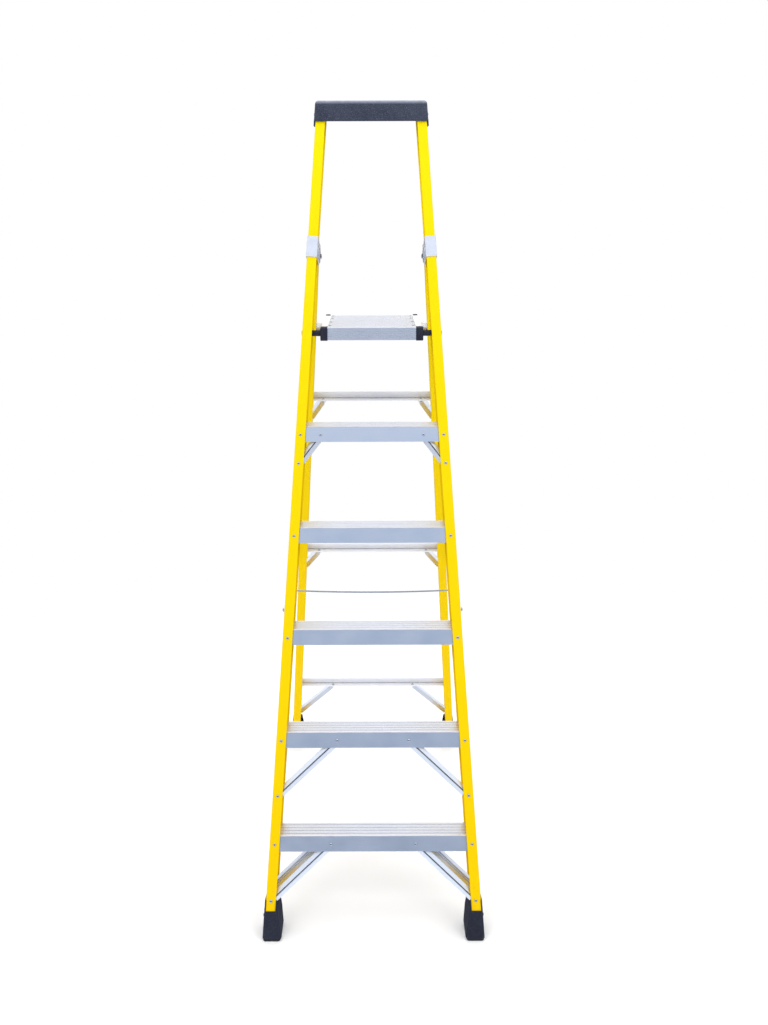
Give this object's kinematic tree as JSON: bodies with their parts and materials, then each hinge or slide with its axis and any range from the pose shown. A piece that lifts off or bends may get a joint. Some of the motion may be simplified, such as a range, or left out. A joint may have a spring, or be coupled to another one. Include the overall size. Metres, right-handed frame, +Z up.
{
  "type": "platform step ladder",
  "caption": "Free-standing folding step ladder with fibreglass channel rails, ribbed metal treads, a fold-up standing platform and a guard loop under a moulded top cap.",
  "frame": {"origin": "on the floor, at the middle of the bounding box of the open ladder", "axes": "+Z up, -Y towards the person climbing, +X to that person's right"},
  "size_m": [0.6904, 1.4019, 2.525],
  "materials": {
    "frp_rail": "pultruded glass-fibre channel, semi-gloss safety yellow with fine lengthwise fibre veil",
    "step_aluminium": "mill-finish extruded aluminium with lengthwise ribs and faint die lines",
    "brace_aluminium": "bright mill-finish aluminium strap",
    "bar_aluminium": "mill-finish aluminium section",
    "zinc_steel": "zinc-plated pressed steel, satin",
    "fastener_steel": "zinc-plated steel, semi-bright",
    "wire_steel": "drawn steel wire, dull zinc",
    "black_plastic": "moulded blue-black polypropylene with a fine spark texture",
    "pad_rubber": "moulded black rubber"
  },
  "bodies": {
    "front_frame": {"boot_rivets_front": "fastener_steel", "front_boot_left": "black_plastic", "front_boot_right": "black_plastic", "front_foot_pad_left": "pad_rubber", "front_foot_pad_right": "pad_rubber", "front_frame_rivets": "fastener_steel", "front_rail_left": "frp_rail", "front_rail_right": "frp_rail", "hinge_bolts": "fastener_steel", "hinge_inner_plates": "zinc_steel", "hinge_lock_nuts": "fastener_steel", "hinge_saddle_left": "zinc_steel", "hinge_saddle_right": "zinc_steel", "hinge_saddle_rivets": "fastener_steel", "hinge_spacer_tubes": "fastener_steel", "platform_axle": "fastener_steel", "platform_pivot_bushes": "black_plastic", "spreader_front_pivots": "fastener_steel", "step_1": "step_aluminium", "step_1_front_braces": "brace_aluminium", "step_1_rear_braces": "brace_aluminium", "step_2": "step_aluminium", "step_2_braces": "brace_aluminium", "step_3": "step_aluminium", "step_4": "step_aluminium", "step_5": "step_aluminium", "step_5_gussets": "brace_aluminium", "top_cap": "black_plastic", "top_cap_rivets": "fastener_steel"},
    "rear_frame": {"rear_rail_left": "frp_rail", "rear_rail_right": "frp_rail", "rear_bar_upper": "bar_aluminium", "rear_bar_middle": "bar_aluminium", "rear_bar_lower": "bar_aluminium", "rear_bar_upper_gussets": "brace_aluminium", "rear_bar_middle_gussets": "brace_aluminium", "rear_bar_lower_gussets": "brace_aluminium", "platform_rest_bar": "bar_aluminium", "rear_frame_rivets": "fastener_steel", "rear_boot_left": "black_plastic", "rear_boot_right": "black_plastic", "rear_foot_pad_left": "pad_rubber", "rear_foot_pad_right": "pad_rubber", "boot_rivets_rear": "fastener_steel", "spreader_rear_pivots": "fastener_steel"},
    "platform": {"platform_deck": "step_aluminium", "platform_side_rail_left": "bar_aluminium", "platform_side_rail_right": "bar_aluminium", "platform_hooks": "zinc_steel", "platform_end_caps": "black_plastic", "platform_corner_plugs": "black_plastic", "platform_rivets": "fastener_steel"},
    "spreader_front": {"spreader_front_link_left": "zinc_steel", "spreader_front_link_right": "zinc_steel", "spreader_cross_rod": "wire_steel", "spreader_middle_studs": "fastener_steel"},
    "spreader_rear_left": {"spreader_rear_link_left": "zinc_steel"},
    "spreader_rear_right": {"spreader_rear_link_right": "zinc_steel"}
  },
  "joints": [
    {"name": "rear_frame_hinge", "type": "hinge", "parent": "front_frame", "child": "rear_frame", "pos_m": [0, 0.08744, 2.03861], "axis": [1, 0, 0], "range_deg": [-33.26, 0]},
    {"name": "platform_pivot", "type": "hinge", "parent": "front_frame", "child": "platform", "pos_m": [0, -0.08701, 1.806], "axis": [1, 0, 0], "range_deg": [0, 71.85]},
    {"name": "spreader_front_pivot", "type": "hinge", "parent": "front_frame", "child": "spreader_front", "pos_m": [0, -0.33432, 0.958], "axis": [1, 0, 0], "range_deg": [0, 58.05]},
    {"name": "spreader_rear_pivot_left", "type": "hinge", "parent": "rear_frame", "child": "spreader_rear_left", "pos_m": [0, 0.41141, 0.92682], "axis": [1, 0, 0], "range_deg": [-69.33, 0]},
    {"name": "spreader_rear_pivot_right", "type": "hinge", "parent": "rear_frame", "child": "spreader_rear_right", "pos_m": [0, 0.41141, 0.92682], "axis": [1, 0, 0], "range_deg": [-69.33, 0]}
  ],
  "couplings": [
    {"joint": "platform_pivot", "follows": "rear_frame_hinge", "ratio": -2.16},
    {"joint": "spreader_front_pivot", "follows": "rear_frame_hinge", "ratio": -1.7451},
    {"joint": "spreader_rear_pivot_left", "follows": "rear_frame_hinge", "ratio": 2.0843},
    {"joint": "spreader_rear_pivot_right", "follows": "rear_frame_hinge", "ratio": 2.0843}
  ]
}
